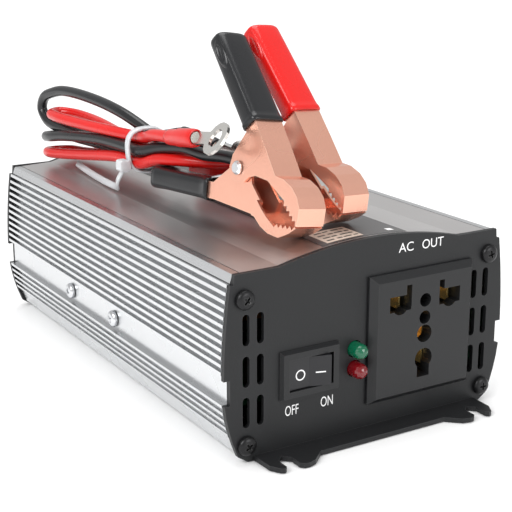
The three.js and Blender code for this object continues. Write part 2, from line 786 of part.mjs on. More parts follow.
function makeJaw(half) {
  const { width, heel, slope, handleEnd, eye } = half;
  const armDepth = armThickness * Math.hypot(1, slope);
  const spine = [handlePoint(half, -handleEnd), heel, ...half.spine];
  const armStart = handlePoint(half, half.armStart);
  const arm = [[armStart[0], armStart[1] - armDepth], [-handleEnd, spine[0][1] - armDepth]];
  const profile = outline([...spine, ...toothRow(half.teeth, 5), ...eye, ...arm]);
  const hollow = spine.slice(1, -1).map(([along, out]) => [along, out - sheet]);
  const tail = handlePoint(half, -handleEnd - 1);
  const nose = half.spine[half.spine.length - 1];
  const open = [[nose[0] - sheet, nose[1]], [nose[0] - sheet, -9], [tail[0], -9], [tail[0], tail[1] - sheet]];
  const channel = outline([...open, ...hollow]);
  const slab = (shape, thickness) => toSolid(prism(shape, thickness).translate(0, 0, -thickness / 2));
  const nosePart = (from) => toSolid(block(from, 40, -20, 20, -10, 10));
  const wide = slab(profile, upperJawWidth).intersect(nosePart(flareStart));
  const wideChannel = slab(channel, upperJawWidth - 2 * sheet).intersect(nosePart(flareStart + sheet));
  const pin = new THREE.CylinderGeometry(rivetRadius + clearance, rivetRadius + clearance, width + 2, 16);
  const body = slab(profile, width).add(wide).subtract(slab(channel, width - 2 * sheet)).subtract(wideChannel);
  return toGeometry(body.subtract(toSolid(pin.rotateX(Math.PI / 2))));
}

// A dipped grip round one handle; start and end are measured along the handle from under the rivet.
function makeGrip(half, start, end, closedEnd) {
  const deep = armThickness + 2 * clearance;
  const wide = half.width + 2 * clearance;
  const outer = roundedRectangle(armThickness / 2, 0, deep + 2 * gripWall, wide + 2 * gripWall, 1.6);
  const sleeve = prism(outer, end - start).translate(0, 0, start);
  const reach = closedEnd ? end - 1.2 : end + 1;
  const hollow = prism(rectangle(armThickness / 2, 0, deep, wide), reach - start + 1).translate(0, 0, start - 1);
  const grip = cut(sleeve, hollow).rotateY(Math.PI / 2).rotateX(Math.PI / 2);
  return grip.rotateZ(Math.PI - Math.atan(half.slope)).translate(...handlePoint(half, 0), 0);
}

function makeClamp(color, { x, y, rise, yaw, lean, pitch }, gripMaterial) {
  const place = (geometry) => geometry
    .rotateZ(-radians(pitch))
    .rotateX(Math.PI / 2)
    .rotateZ(-Math.PI / 2)
    .rotateY(radians(lean))
    .rotateZ(radians(yaw))
    .translate(x, y, rise);
  const add = (name, geometry, material) => addPiece(`${color}_${name}`, place(geometry), material, leads);
  add("upper_jaw", makeJaw(upperHalf), copper());
  add("lower_jaw", makeJaw(lowerHalf).rotateX(Math.PI), copper());
  add("upper_grip", makeGrip(upperHalf, 0.3, 33.6, true), gripMaterial());
  add("lower_grip", makeGrip(lowerHalf, 11, 42, false).rotateX(Math.PI), gripMaterial());

  const half = upperJawWidth / 2 + clearance;
  const rivet = turned([
    [0, -half - 1.1],
    [1.6, -half - 1.1],
    [2.2, -half - 0.5],
    [2.2, -half],
    [rivetRadius, -half],
    [rivetRadius, half],
    [2.2, half],
    [2.2, half + 0.5],
    [1.6, half + 1.1],
    [0, half + 1.1],
  ], 0, 0, 12);
  add("rivet", rivet.rotateX(Math.PI / 2), steel());
  const coil = turned([[1.9, -2.7], [3.4, -2.7], [3.4, 2.7], [1.9, 2.7], [1.9, -2.7]], 0, 0, 16);
  add("spring", coil.rotateX(Math.PI / 2), steel());
}

// A lead's free stretch: a tube through hand-set points, [x, y, rise above the crown].
function makeTube(name, points, material) {
  const path = new THREE.CatmullRomCurve3(points.map((point) => new THREE.Vector3(...point)), false, "centripetal");
  const section = outline(arc(0, 0, leadDiameter / 2, 0, 2 * Math.PI, 8));
  const steps = Math.round(path.getLength() / (2 * leadDiameter));
  const tube = new THREE.ExtrudeGeometry(section, { steps, extrudePath: path, bevelEnabled: false });
  addPiece(name, tube, material, leads);
}

// A ring terminal with its sleeve: centre of the ring, the way it points and the ring's face.
function makeTerminal(color, centre, toward, face, sleeveMaterial) {
  const along = new THREE.Vector3(...toward).normalize();
  const across = new THREE.Vector3(...face).cross(along).normalize();
  const basis = new THREE.Matrix4().makeBasis(along, across, along.clone().cross(across));
  basis.setPosition(...centre);
  const ring = disc(0, 0, ringOuter).clone();
  const barrel = new THREE.CylinderGeometry(2, 2, 9, 12).rotateZ(Math.PI / 2).translate(-ringReach - 4.5, 0, 0);
  const tongue = block(-ringReach - 1, -ringOuter + 1.5, -2.2, 2.2, -0.5, 0.5);
  const body = cut(join(alongZ(ring, -0.5, 0.5), tongue, barrel), alongZ(disc(0, 0, ringHole), -2, 2));
  addPiece(`${color}_ring_terminal`, body.applyMatrix4(basis), copper(), leads);
  const bore = leadDiameter / 2 + clearance;
  const profile = [[bore, 0], [bore + 0.8, 0], [bore + 0.8, sleeveLength], [bore, sleeveLength], [bore, 0]];
  const sleeve = turned(profile, 0, 0, 12).rotateZ(Math.PI / 2).translate(-ringReach, 0, 0);
  addPiece(`${color}_terminal_sleeve`, sleeve.applyMatrix4(basis), sleeveMaterial(), leads);
}

// The hank is the outer shape of the folded leads, pinched where the tie holds them.
function makeHank() {
  const plan = outline([
    [-27, -2], [-24.5, -11], [-21, -13.2], [-18, -12], [-16, -6], [-16, 1], [-21, 7.5],
    [-21, hankNear], [-16.3, 30], [-20, 60], [-21.5, 80], [-25, 88], [-30, 91.3], [-36, 90],
    [-38.3, 84], [-38.3, 60], [-33.6, hankNear], [-29.1, hankNear], [-29.1, 6],
  ]);
  const side = outline([
    [-14, 11.4], [-0.5, 11.4], [0.5, 7.2], [hankNear, 7.2], [50, 3.2], [78, 0.4], [83, 3],
    [88, 8.5], [91.4, 14], [90.6, 20], [86, 25], [78, 27.8], [66, 28.6], [46, 28.2], [26, 25.8],
    [hankNear, 19.5], [hankNear, 14.9], [-14, 14.9],
  ]);
  const across = prism(side, 60).rotateY(Math.PI / 2).rotateX(Math.PI / 2).translate(-50, 0, 0);
  const hank = toSolid(alongZ(plan, -5, 40)).intersect(toSolid(across));
  addPiece("lead_hank", toGeometry(hank), redPlastic(), leads);
}

// The tie's loop lies in X and Z round the bundle; its lock sits at the lower left.
function makeTie() {
  const { x, y, rise } = tieMiddle;
  const loop = cut(
    alongY(roundedRectangle(x, rise, 16.6, 16.1, 3.3), y - 1.3, y + 1.3),
    alongY(roundedRectangle(x, rise, 14, 13.5, 2), y - 2, y + 2),
  );
  const lock = block(x - 12.6, x - 7.9, y - 2, y + 2, rise - 6.8, rise - 2.8);
  const tail = block(x - 11.4, x - 10.2, y - 1.2, y + 1.2, rise - 14, rise - 6.7);
  addPiece("cable_tie", join(loop, lock, tail), finish(0xe9ebee, 0.5, 0), leads);
}

makeClamp("black", clamps.black, blackPlastic);
makeClamp("red", clamps.red, redPlastic);

const blackRing = [-15.5, -35.5, 16.6];
const redRing = [-32, -48.3, 26.5];
makeTerminal("black", blackRing, [0.118, -0.988, -0.1], [0.99, 0.118, 0], blackPlastic);
makeTerminal("red", redRing, [-0.026, -0.989, 0.144], [-0.79, 0, 0.61], redPlastic);

makeTube("black_clamp_lead", [
  [-21.9, -47.2, 17.5],
  [-22.2, -44.5, 18.2],
  [-23.2, -38, 18.3],
  [-24.5, -28, 17.3],
  [-26, -16, 17.6],
  [-28.6, -4, 16],
  [-31.4, 6, 13.5],
  [-31.5, 12.2, 13.4],
], blackPlastic());
makeTube("red_clamp_lead", [
  [-4.5, -43.1, 18.3],
  [-5.8, -39.5, 17.2],
  [-9.6, -33.4, 15],
  [-12.6, -29.6, 14.2],
  [-15.6, -25.4, 12.9],
  [-22, -19.5, 13.1],
  [-27, -12, 13],
  [-29.8, -3.4, 12],
  [-31.3, 5, 9.4],
  [-31.5, 12.2, 9],
], redPlastic());
makeTube("black_ring_lead", [
  [-24.8, 12.2, 17.3],
  [-24.3, 8, 17.5],
  [-22.4, 3, 18.6],
  [-19.4, -2.9, 19.9],
  [-18.3, -11.8, 19],
], blackPlastic());
makeTube("red_ring_lead", [
  [-29.2, 12.2, 17.3],
  [-29.3, 6, 18],
  [-30.6, -2, 20.2],
  [-31, -10, 21.3],
  [-31.15, -15.6, 21.75],
  [-31.4, -24.5, 23],
], redPlastic());
makeHank();
makeTie();

export default part;
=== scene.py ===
"""Looks of a small power inverter with its battery clamp leads on top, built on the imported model."""
import json
import math

import bpy
import bmesh
from mathutils import Matrix, Vector


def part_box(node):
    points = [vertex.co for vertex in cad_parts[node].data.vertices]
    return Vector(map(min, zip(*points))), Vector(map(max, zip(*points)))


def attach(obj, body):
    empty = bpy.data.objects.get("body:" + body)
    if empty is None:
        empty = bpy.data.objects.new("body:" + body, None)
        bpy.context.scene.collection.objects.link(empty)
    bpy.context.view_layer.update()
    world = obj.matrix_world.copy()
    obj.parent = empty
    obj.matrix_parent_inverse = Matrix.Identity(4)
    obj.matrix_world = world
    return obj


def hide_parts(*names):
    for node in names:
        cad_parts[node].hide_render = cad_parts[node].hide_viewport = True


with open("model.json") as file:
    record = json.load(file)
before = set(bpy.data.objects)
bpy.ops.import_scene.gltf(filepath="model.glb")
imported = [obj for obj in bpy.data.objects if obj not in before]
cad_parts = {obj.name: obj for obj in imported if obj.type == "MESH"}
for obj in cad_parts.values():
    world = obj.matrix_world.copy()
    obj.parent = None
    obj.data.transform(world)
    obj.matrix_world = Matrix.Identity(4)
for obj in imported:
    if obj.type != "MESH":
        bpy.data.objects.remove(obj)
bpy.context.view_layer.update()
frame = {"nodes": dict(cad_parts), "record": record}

nodes = frame["nodes"]
MM = 0.001
scene = bpy.context.scene

# ---------------------------------------------------------------- places taken from the frame
SCREW_HEIGHT = 2.0 * MM
PANEL_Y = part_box("front_panel_screw_1")[0][1] + SCREW_HEIGHT
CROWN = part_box("top_cover")[1][2]
CREASE_HALF = 33 * MM
CROWN_RISE = 4.1 * MM
CROWN_RADIUS = (CREASE_HALF**2 + CROWN_RISE**2) / (2 * CROWN_RISE)


def crown_z(x):
    """Height of the cover's outside at x."""
    if abs(x) > CREASE_HALF:
        return CROWN - CROWN_RISE
    return CROWN - CROWN_RADIUS + math.sqrt(CROWN_RADIUS**2 - x * x)


# ---------------------------------------------------------------- camera
CAMERA_PLACE = Vector((-0.2114, -0.3650, 0.1572))
CAMERA_AZIMUTH = math.radians(-31.42)
CAMERA_ELEVATION = math.radians(16.20)
camera_data = bpy.data.cameras.new("camera")
camera_data.lens = 85.4
camera_data.sensor_width = 36
camera_data.clip_start = 0.01
camera = bpy.data.objects.new("camera", camera_data)
camera.location = CAMERA_PLACE
camera.rotation_euler = (math.pi / 2 - CAMERA_ELEVATION, 0, CAMERA_AZIMUTH)
scene.collection.objects.link(camera)
scene.camera = camera


# ---------------------------------------------------------------- materials
def noise_group():
    """Fine grain for moulded, coated and drawn surfaces: a bump and a change of roughness."""
    group = bpy.data.node_groups.new("surface grain", "ShaderNodeTree")
    face = group.interface
    for name, kind, value in (
        ("Scale", "NodeSocketFloat", 900.0),
        ("Stretch", "NodeSocketVector", (1, 1, 1)),
        ("Depth", "NodeSocketFloat", 0.15),
        ("Roughness", "NodeSocketFloat", 0.4),
        ("Variation", "NodeSocketFloat", 0.12),
    ):
        face.new_socket(name, in_out="INPUT", socket_type=kind).default_value = value
    face.new_socket("Roughness", in_out="OUTPUT", socket_type="NodeSocketFloat")
    face.new_socket("Normal", in_out="OUTPUT", socket_type="NodeSocketVector")
    n, link = group.nodes, group.links.new
    given, result = n.new("NodeGroupInput"), n.new("NodeGroupOutput")
    place, stretch = n.new("ShaderNodeTexCoord"), n.new("ShaderNodeVectorMath")
    stretch.operation = "MULTIPLY"
    fine, cloudy = n.new("ShaderNodeTexNoise"), n.new("ShaderNodeTexNoise")
    fine.inputs["Detail"].default_value = 4
    cloudy.inputs["Scale"].default_value = 45
    bump, spread, total = n.new("ShaderNodeBump"), n.new("ShaderNodeMath"), n.new("ShaderNodeMath")
    centre = n.new("ShaderNodeMath")
    centre.operation, centre.inputs[1].default_value = "SUBTRACT", 0.5
    spread.operation = "MULTIPLY"
    bump.inputs["Distance"].default_value = 0.0001
    link(place.outputs["Object"], stretch.inputs[0])
    link(given.outputs["Stretch"], stretch.inputs[1])
    link(stretch.outputs[0], fine.inputs["Vector"])
    link(given.outputs["Scale"], fine.inputs["Scale"])
    link(place.outputs["Object"], cloudy.inputs["Vector"])
    link(fine.outputs["Fac"], bump.inputs["Height"])
    link(given.outputs["Depth"], bump.inputs["Strength"])
    link(cloudy.outputs["Fac"], centre.inputs[0])
    link(centre.outputs[0], spread.inputs[0])
    link(given.outputs["Variation"], spread.inputs[1])
    link(spread.outputs[0], total.inputs[0])
    link(given.outputs["Roughness"], total.inputs[1])
    link(total.outputs[0], result.inputs["Roughness"])
    link(bump.outputs["Normal"], result.inputs["Normal"])
    return group


def edge_group():
    """Lighter edges: 1 where a small bevel would turn the surface, 0 on flats."""
    group = bpy.data.node_groups.new("lighter edges", "ShaderNodeTree")
    face = group.interface
    face.new_socket("Width", in_out="INPUT", socket_type="NodeSocketFloat").default_value = 0.0003
    face.new_socket("Amount", in_out="OUTPUT", socket_type="NodeSocketFloat")
    n, link = group.nodes, group.links.new
    given, result = n.new("NodeGroupInput"), n.new("NodeGroupOutput")
    rounded, true_normal = n.new("ShaderNodeBevel"), n.new("ShaderNodeNewGeometry")
    dot, ramp = n.new("ShaderNodeVectorMath"), n.new("ShaderNodeMapRange")
    dot.operation = "DOT_PRODUCT"
    ramp.inputs["From Min"].default_value = 0.995
    ramp.inputs["From Max"].default_value = 0.8
    link(given.outputs["Width"], rounded.inputs["Radius"])
    link(rounded.outputs["Normal"], dot.inputs[0])
    link(true_normal.outputs["Normal"], dot.inputs[1])
    link(dot.outputs["Value"], ramp.inputs["Value"])
    link(ramp.outputs["Result"], result.inputs["Amount"])
    return group


GRAIN = noise_group()
EDGE = edge_group()


def material(
    name, color, roughness, metallic=0.0, scale=900, stretch=(1, 1, 1), depth=0.15, variation=0.12,
    coat=0.0, edge=None, transmission=0.0, mottle=0.0, shine=0.5, glow=0.0,
):
    """A principled material with the shared grain, and with lighter edges or darker clouds where given; a glow,
    where given, is painted light.
    """
    made = bpy.data.materials.new(name)
    made.use_nodes = True
    n, link = made.node_tree.nodes, made.node_tree.links.new
    shader = n["Principled BSDF"]
    shader.inputs["Metallic"].default_value = metallic
    shader.inputs["Specular IOR Level"].default_value = shine
    # Emission, where glow is given, is painted light: the surface shines though it is no lamp.
    shader.inputs["Emission Color"].default_value = (*color, 1)
    shader.inputs["Emission Strength"].default_value = glow
    shader.inputs["Coat Weight"].default_value = coat
    shader.inputs["Coat Roughness"].default_value = 0.15
    shader.inputs["Transmission Weight"].default_value = transmission
    grain = n.new("ShaderNodeGroup")
    grain.node_tree = GRAIN
    grain.inputs["Scale"].default_value = scale
    grain.inputs["Stretch"].default_value = stretch
    grain.inputs["Depth"].default_value = depth
    grain.inputs["Roughness"].default_value = roughness
    grain.inputs["Variation"].default_value = variation
    link(grain.outputs["Roughness"], shader.inputs["Roughness"])
    link(grain.outputs["Normal"], shader.inputs["Normal"])
    base = shader.inputs["Base Color"]
    base.default_value = (*color, 1)
    # Where edge is given, the edges are mixed toward that lighter colour.
    if edge:
        edge_mask = n.new("ShaderNodeGroup")
        edge_mask.node_tree = EDGE
        edge_mix = n.new("ShaderNodeMix")
        edge_mix.data_type = "RGBA"
        edge_mix.inputs["A"].default_value = (*color, 1)
        edge_mix.inputs["B"].default_value = (*edge, 1)
        link(edge_mask.outputs["Amount"], edge_mix.inputs["Factor"])
        link(edge_mix.outputs["Result"], base)
        base = edge_mix.inputs["A"]
    if mottle:
        tint = n.new("ShaderNodeMix")
        tint.data_type = "RGBA"
        tint.inputs["A"].default_value = (*color, 1)
        tint.inputs["B"].default_value = (*[c * (1 - mottle) for c in color], 1)
        cloud = n.new("ShaderNodeTexNoise")
        cloud.inputs["Scale"].default_value = 60
        link(cloud.outputs["Fac"], tint.inputs["Factor"])
        link(tint.outputs["Result"], base)
    return made


DRAWN = (1, 0.03, 1)
M = {
    "case_aluminium": material(
        "extruded aluminium", (0.68, 0.69, 0.70), 0.27, 1.0, 1400, DRAWN, 0.12, 0.1,
    ),
    # The cover's aluminium is the case's, drawn darker and warmer: painted shade on the cover.
    "cover_aluminium": material(
        "cover aluminium with painted shade", (0.60, 0.585, 0.58), 0.36, 1.0, 1600, DRAWN, 0.2, 0.1,
    ),
    "panel_black": material("powder coat", (0.013, 0.0135, 0.0145), 0.45, 0.0, 1500, depth=0.35,
                            edge=(0.04, 0.04, 0.042), shine=0.3),
    "bright_steel": material("zinc plate", (0.75, 0.76, 0.78), 0.25, 1.0, 700, depth=0.08, mottle=0.15),
    "dark_screw": material(
        "black oxide", (0.02, 0.02, 0.021), 0.35, 0.7, 700, depth=0.1, edge=(0.1, 0.1, 0.1),
    ),
    "black_plastic": material("moulded black", (0.012, 0.0125, 0.0135), 0.36, 0.0, 2200,
    depth=0.25, shine=0.35,
                              edge=(0.035, 0.035, 0.036)),
    "rocker_black": material(
        "rocker black", (0.012, 0.012, 0.014), 0.3, 0.0, 2600, depth=0.1, shine=0.4,
    ),
    "red_plastic": material("moulded red", (0.55, 0.012, 0.01), 0.3, 0.0, 1200, depth=0.08),
    # The brass glows faintly: a painted glint, so that the outlet's contacts show in the dark.
    "brass_part": material(
        "turned brass", (0.95, 0.68, 0.25), 0.25, 1.0, 500, (1, 12, 1), 0.1, glow=0.03,
    ),
    "green_lens": material(
        "green lens", (0.003, 0.13, 0.06), 0.1, 0.0, 300, depth=0.02, coat=0.3, transmission=0.2,
    ),
    "red_lens": material(
        "red lens", (0.19, 0.004, 0.008), 0.1, 0.0, 300, depth=0.02, coat=0.3, transmission=0.2,
    ),
    "board_green": material("solder mask", (0.02, 0.12, 0.05), 0.4, 0.0, 400, depth=0.2, mottle=0.3),
    "core_dark": material("ferrite", (0.05, 0.05, 0.055), 0.6, 0.1, 900, depth=0.3),
    "winding_copper": material(
        "varnished winding", (0.55, 0.25, 0.07), 0.35, 0.6, 900, (0.05, 0.05, 1), 0.5,
    ),
    "can_dark": material("can sleeve", (0.02, 0.03, 0.05), 0.35, 0.0, 500, depth=0.05),
    "copper_plate": material("copper plate", (0.95, 0.50, 0.37), 0.25, 0.85, 1100, depth=0.1, variation=0.2,
                             edge=(1.0, 0.66, 0.5), mottle=0.15),
    "tinned_plate": material("tinned lug", (0.86, 0.84, 0.80), 0.22, 1.0, 800, depth=0.08, mottle=0.08),
    "red_vinyl": material(
        "red vinyl", (0.66, 0.008, 0.006), 0.27, 0.0, 700, depth=0.12, coat=0.1, mottle=0.15, shine=0.4,
    ),
    "black_vinyl": material(
        "black vinyl", (0.010, 0.0105, 0.012), 0.28, 0.0, 700, depth=0.12, coat=0.05, shine=0.4,
    ),
    "white_nylon": material(
        "white nylon", (0.80, 0.82, 0.84), 0.3, 0.0, 500, depth=0.05, transmission=0.35,
    ),
    "label_grey": material("label film", (0.045, 0.042, 0.042), 0.4, 0.0, 1500, depth=0.05, coat=0.3),
    "label_beige": material("label print", (0.52, 0.43, 0.36), 0.45, 0.0, 1500, depth=0.03),
    "print_white": material("screen print", (0.82, 0.82, 0.82), 0.5, 0.0, 1500, depth=0.05),
    "print_dark": material("dark print", (0.08, 0.07, 0.06), 0.5, 0.0, 1500, depth=0.05),
}

node_slots = {entry["node"]: entry["material_slot"] for entry in frame["record"]["subparts"]}


def dress(obj, name):
    obj.data.materials.clear()
    obj.data.materials.append(M[name])


# Every CAD node gets its finish, and most get softened edges.
SOFT_EDGE = {
    "case_base": 0.12,
    "top_cover": 0.15,
    "front_panel": 0.2,
    "rear_panel": 0.2,
    "outlet_block": 0.35,
    "switch_housing": 0.35,
    "switch_rocker": 0.4,
    "fan_frame": 0.3,
    "fan_rotor": 0.15,
}
SMALL_FITTINGS = ("jaw", "stud", "knob", "insulator", "cable_tie", "ring_terminal", "rivet")
for name, obj in nodes.items():
    dress(obj, node_slots[name])
    for polygon in obj.data.polygons:
        polygon.use_smooth = True
    obj.data.set_sharp_from_angle(angle=math.radians(32))
    width = SOFT_EDGE.get(name)
    if width is None and any(word in name for word in SMALL_FITTINGS):
        width = 0.2
    if width:
        soften = obj.modifiers.new("softened edges", "BEVEL")
        soften.width = width * MM
        soften.segments = 2
        soften.limit_method = "ANGLE"
        soften.angle_limit = math.radians(34)
# The top cover takes the darker copy of the aluminium, its painted shade.
dress(nodes["top_cover"], "cover_aluminium")
dress(nodes["switch_rocker"], "rocker_black")


# ---------------------------------------------------------------- mesh helpers
def add_mesh(name, points, faces, finish, body, smooth_angle=35):
    """A mesh object from points in metres, riding on a body."""
    mesh = bpy.data.meshes.new(name)
    mesh.from_pydata([tuple(p) for p in points], [], faces)
    mesh.validate()
    work = bmesh.new()
    work.from_mesh(mesh)
    bmesh.ops.recalc_face_normals(work, faces=work.faces)
    work.to_mesh(mesh)
    work.free()
    for polygon in mesh.polygons:
        polygon.use_smooth = True
    mesh.set_sharp_from_angle(angle=math.radians(smooth_angle))
    obj = bpy.data.objects.new(name, mesh)
    scene.collection.objects.link(obj)
    obj.data.materials.append(M[finish])
    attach(obj, body)
    return obj


def loft(rings, close_start=True, close_end=True):
    """Points and faces through rings of equal size."""
    count = len(rings[0])
    points = [p for ring in rings for p in ring]
    faces = []
    for r in range(len(rings) - 1):
        for i in range(count):
            j = (i + 1) % count
            faces.append((r * count + i, r * count + j, (r + 1) * count + j, (r + 1) * count + i))
    if close_start:
        faces.append(tuple(range(count)))
    if close_end:
        faces.append(tuple(range((len(rings) - 1) * count, len(rings) * count)))
    return points, faces


def turned(profile, place, sides=32, caps=True):
    """Points and faces of a lathe about place's local Z; profile is (radius, height) in mm."""
    rings = []
    for radius, height in profile:
        ring = []
        for i in range(sides):
            angle = 2 * math.pi * i / sides
            ring.append(place @ Vector((radius * math.cos(angle), radius * math.sin(angle), height)))
        rings.append(ring)
    return loft(rings, caps, caps)


def catmull(points, spacing=1.2):
    """Points close together on a centripetal Catmull-Rom curve through the given ones, in mm."""
    given = [Vector(p) for p in points]
    padded = [given[0] * 2 - given[1], *given, given[-1] * 2 - given[-2]]
    result = []
    for p0, p1, p2, p3 in zip(padded, padded[1:], padded[2:], padded[3:]):
        d1, d2, d3 = (max((b - a).length, 1e-6) ** 0.5 for a, b in ((p0, p1), (p1, p2), (p2, p3)))
        t1, t2, t3 = d1, d1 + d2, d1 + d2 + d3
        steps = max(2, round((p2 - p1).length / spacing))
        for k in range(steps):
            t = t1 + (t2 - t1) * k / steps
            a1 = p0 * ((t1 - t) / t1) + p1 * (t / t1)
            a2 = p1 * ((t2 - t) / (t2 - t1)) + p2 * ((t - t1) / (t2 - t1))
            a3 = p2 * ((t3 - t) / (t3 - t2)) + p3 * ((t - t2) / (t3 - t2))
            b1 = a1 * ((t2 - t) / t2) + a2 * (t / t2)
            b2 = a2 * ((t3 - t) / (t3 - t1)) + a3 * ((t - t1) / (t3 - t1))
            result.append(b1 * ((t2 - t) / (t2 - t1)) + b2 * ((t - t1) / (t2 - t1)))
    result.append(given[-1])
    return result


def tube(name, points, radius, finish, body):
    """A round cord as a curve of one open spline; points in metres."""
    data = bpy.data.curves.new(name, "CURVE")
    data.dimensions = "3D"
    data.bevel_depth = radius
    data.bevel_resolution = 5
    data.use_fill_caps = True
    spline = data.splines.new("POLY")
    spline.points.add(len(points) - 1)
    for place, point in zip(spline.points, points):
        place.co = (*point, 1)
    spline.use_smooth = True
    obj = bpy.data.objects.new(name, data)
    scene.collection.objects.link(obj)
    data.materials.append(M[finish])
    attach(obj, body)
    return obj


# ---------------------------------------------------------------- leads, first of the pieces
# Points in mm: x, y and the rise above the crown of the cover. The leads are tied in one hank.
LEAD_DIAMETER = 4.0
BLACK_LEAD = [
    (-21.9, -47.2, 17.5), (-22.2, -44.5, 18.2), (-23.2, -38, 18.3), (-24.5, -28, 17.3), (-26, -16, 17.6),
    (-28.6, -4, 16), (-31.4, 6, 13.5), (-31.5, 12.2, 13.4), (-33, 35.8, 13), (-36, 62, 10.3),
    (-36.9, 74, 8.3),
    (-35.4, 81, 7.2), (-31, 83.5, 6.6), (-26.4, 80, 6.4), (-25, 70, 6.6), (-24.8, 55, 7.4), (-23.4, 30, 8.3),
    (-22.6, 12, 9), (-20.4, 7, 9.3), (-19, 3.6, 9.6), (-21, 0.8, 9.9), (-24.4, 1, 9.9), (-26.6, 4, 9.5),
    (-27, 9, 9.1), (-28, 25, 9.8), (-30, 50, 11.2), (-31.5, 66, 11.4), (-32.8, 77.8, 11.4), (-33.4, 84.8, 13),
    (-33.8, 88.6, 17), (-33.8, 85.8, 21.6), (-33, 78, 24.6), (-32, 69.4, 26.1), (-30, 45.8, 25.8),
    (-28, 25.8, 23.3), (-25, 14, 19.2), (-24.3, 8, 17.6), (-22.4, 3, 18.6), (-19.4, -2.9, 19.9),
    (-18.3, -11.8, 19),
]
RED_LEAD = [
    (-4.5, -43.1, 18.3), (-5.8, -39.5, 17.2), (-9.6, -33.4, 15), (-12.6, -29.6, 14.2), (-15.6, -25.4, 12.9),
    (-22, -19.5, 13.1), (-27, -12, 13), (-29.8, -3.4, 12), (-31.3, 5, 9.4), (-31.5, 12.2, 9), (-32, 22, 8.8),
    (-34, 48, 5.2), (-36, 66, 2.8), (-36.9, 74, 1.9), (-35.6, 79.5, 1.3), (-31, 81.5, 0.9), (-26.5, 79, 1),
    (-24, 70, 1.4), (-22, 55, 3.5), (-18.6, 34, 8.5), (-19.8, 20, 11.6), (-22.6, 12, 13.3), (-20.4, 4, 13.7),
    (-18.4, -2, 14), (-19.2, -7.6, 14), (-22.2, -9.6, 14), (-24.8, -5.5, 13.9), (-26.2, 2, 13.7),
    (-27, 9, 13.4),
    (-26.5, 25, 14.2), (-25.5, 50, 15.8), (-25.5, 64, 16.2), (-27.5, 73, 16.6), (-31.5, 77, 17),
    (-35.5, 74.5, 17), (-36.6, 67, 17), (-35, 50, 16.9), (-32, 28, 17.2), (-29.2, 12.2, 17.3), (-29.3, 6, 18),
    (-30.6, -2, 20.2), (-31, -10, 21.3), (-31.15, -15.6, 21.75), (-31.4, -24.5, 23),
]


def above_crown(point):
    return Vector((point[0] * MM, point[1] * MM, CROWN + point[2] * MM))


def lead(color, points):
    route = [above_crown(p) for p in catmull(points)]
    length = sum((b - a).length for a, b in zip(route, route[1:]))
    return tube(f"{color}_lead", route, LEAD_DIAMETER / 2 * MM, f"{color}_vinyl", "leads"), length, route[0]


black_lead, black_length, black_exit = lead("black", BLACK_LEAD)
red_lead, red_length, red_exit = lead("red", RED_LEAD)
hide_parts("black_clamp_lead", "black_ring_lead")
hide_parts("red_clamp_lead", "red_ring_lead", "lead_hank")

# ---------------------------------------------------------------- clamps
# Each clamp is drawn in its own plane: X toward the nose, Y up, Z toward the near side, in mm.
CLAMPS = {
    "black": {"place": (-21.4, -51.4, 16.9), "yaw": 7, "lean": 8.5, "pitch": 20.5},
    "red": {"place": (-4, -47.3, 18), "yaw": 9, "lean": 4.5, "pitch": 20.5},
}
ARM = 5.3
GRIPS = {
    "upper": {"heel": 16.1, "slope": 0.5, "half_width": 6.3, "start": 0.3, "end": 33.6, "side": 1},
    "lower": {"heel": 12.46, "slope": 0.42, "half_width": 5.1, "start": 11.0, "end": 42.0, "side": -1},
}


def clamp_matrix(color):
    """From a clamp's own plane, in mm, to the row frame, in metres."""
    given = CLAMPS[color]
    stand = Matrix.Rotation(-math.pi / 2, 4, "Z") @ Matrix.Rotation(math.pi / 2, 4, "X")
    pitch = Matrix.Rotation(-math.radians(given["pitch"]), 4, "Z")
    lean = Matrix.Rotation(math.radians(given["lean"]), 4, "Y")
    yaw = Matrix.Rotation(math.radians(given["yaw"]), 4, "Z")
    x, y, rise = given["place"]
    place = Matrix.Translation((x * MM, y * MM, CROWN + rise * MM))
    return place @ yaw @ lean @ stand @ pitch @ Matrix.Scale(MM, 4)


def grip_matrix(color, part):
    """From a grip's own lines to the row frame: X along the handle, Y inward, Z across."""
    grip = GRIPS[part]
    turn = Matrix.Rotation(math.pi - math.atan(grip["slope"]), 4, "Z")
    flip = Matrix.Rotation(0 if grip["side"] > 0 else math.pi, 4, "X")
    return clamp_matrix(color) @ flip @ Matrix.Translation((0, grip["heel"], 0)) @ turn


def rounded_ring(half_height, half_width, power, sides=40):
    """A rounded rectangle's points in Y and Z."""
    ring = []
    for i in range(sides):
        angle = 2 * math.pi * (i + 0.5) / sides
        c, s = math.cos(angle), math.sin(angle)
        y = half_height * math.copysign(abs(c) ** (2 / power), c)
        z = half_width * math.copysign(abs(s) ** (2 / power), s)
        ring.append((y, z))
    return ring


